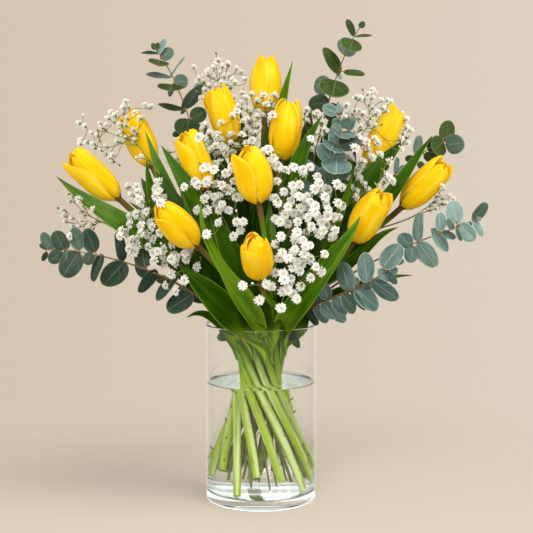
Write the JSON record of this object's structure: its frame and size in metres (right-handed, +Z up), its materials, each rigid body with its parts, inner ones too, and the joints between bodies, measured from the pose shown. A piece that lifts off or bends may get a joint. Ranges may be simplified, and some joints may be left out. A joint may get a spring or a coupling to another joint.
{
  "type": "bunch of tulips",
  "caption": "Hand-tied bunch of yellow tulips with eucalyptus and baby's breath, standing in a straight clear glass vase part filled with water.",
  "frame": {"origin": "centre of the vase's foot, on the plane that it stands on", "axes": "+Z up along the vase's axis; -Y towards the front of the bunch, the side that its lowest blooms lean out on; +X to the right seen from the front"},
  "size_m": [0.463, 0.2983, 0.525],
  "materials": {
    "vase_glass": "clear, polished",
    "water": "clear liquid, still surface",
    "tulip_petal": "silky yellow petals with a finely ribbed face",
    "tulip_green": "waxy green leaves and smooth stems, brown-purple below the blooms",
    "eucalyptus": "powdery blue-green leaves on thin brown twigs",
    "gypsophila": "papery white florets on thin green twigs"
  },
  "bodies": {
    "root": {"vase": "vase_glass", "water": "water", "tulip_01_bloom": "tulip_petal", "tulip_02_bloom": "tulip_petal", "tulip_03_bloom": "tulip_petal", "tulip_04_bloom": "tulip_petal", "tulip_05_bloom": "tulip_petal", "tulip_06_bloom": "tulip_petal", "tulip_07_bloom": "tulip_petal", "tulip_08_bloom": "tulip_petal", "tulip_09_bloom": "tulip_petal", "tulip_10_bloom": "tulip_petal", "tulip_11_bloom": "tulip_petal", "tulip_12_bloom": "tulip_petal", "tulip_01_stem": "tulip_green", "tulip_02_stem": "tulip_green", "tulip_03_stem": "tulip_green", "tulip_04_stem": "tulip_green", "tulip_05_stem": "tulip_green", "tulip_06_stem": "tulip_green", "tulip_07_stem": "tulip_green", "tulip_08_stem": "tulip_green", "tulip_09_stem": "tulip_green", "tulip_10_stem": "tulip_green", "tulip_11_stem": "tulip_green", "tulip_12_stem": "tulip_green", "eucalyptus_01": "eucalyptus", "eucalyptus_02": "eucalyptus", "eucalyptus_03": "eucalyptus", "eucalyptus_04": "eucalyptus", "eucalyptus_05": "eucalyptus", "eucalyptus_06": "eucalyptus", "eucalyptus_07": "eucalyptus", "eucalyptus_08": "eucalyptus", "eucalyptus_09": "eucalyptus", "gypsophila_01": "gypsophila", "gypsophila_02": "gypsophila", "gypsophila_03": "gypsophila", "gypsophila_04": "gypsophila", "gypsophila_05": "gypsophila", "gypsophila_06": "gypsophila", "gypsophila_07": "gypsophila", "gypsophila_08": "gypsophila", "gypsophila_09": "gypsophila", "gypsophila_10": "gypsophila", "gypsophila_11": "gypsophila", "gypsophila_12": "gypsophila", "gypsophila_13": "gypsophila", "gypsophila_14": "gypsophila", "gypsophila_15": "gypsophila", "gypsophila_16": "gypsophila", "gypsophila_17": "gypsophila", "gypsophila_18": "gypsophila"}
  },
  "joints": []
}
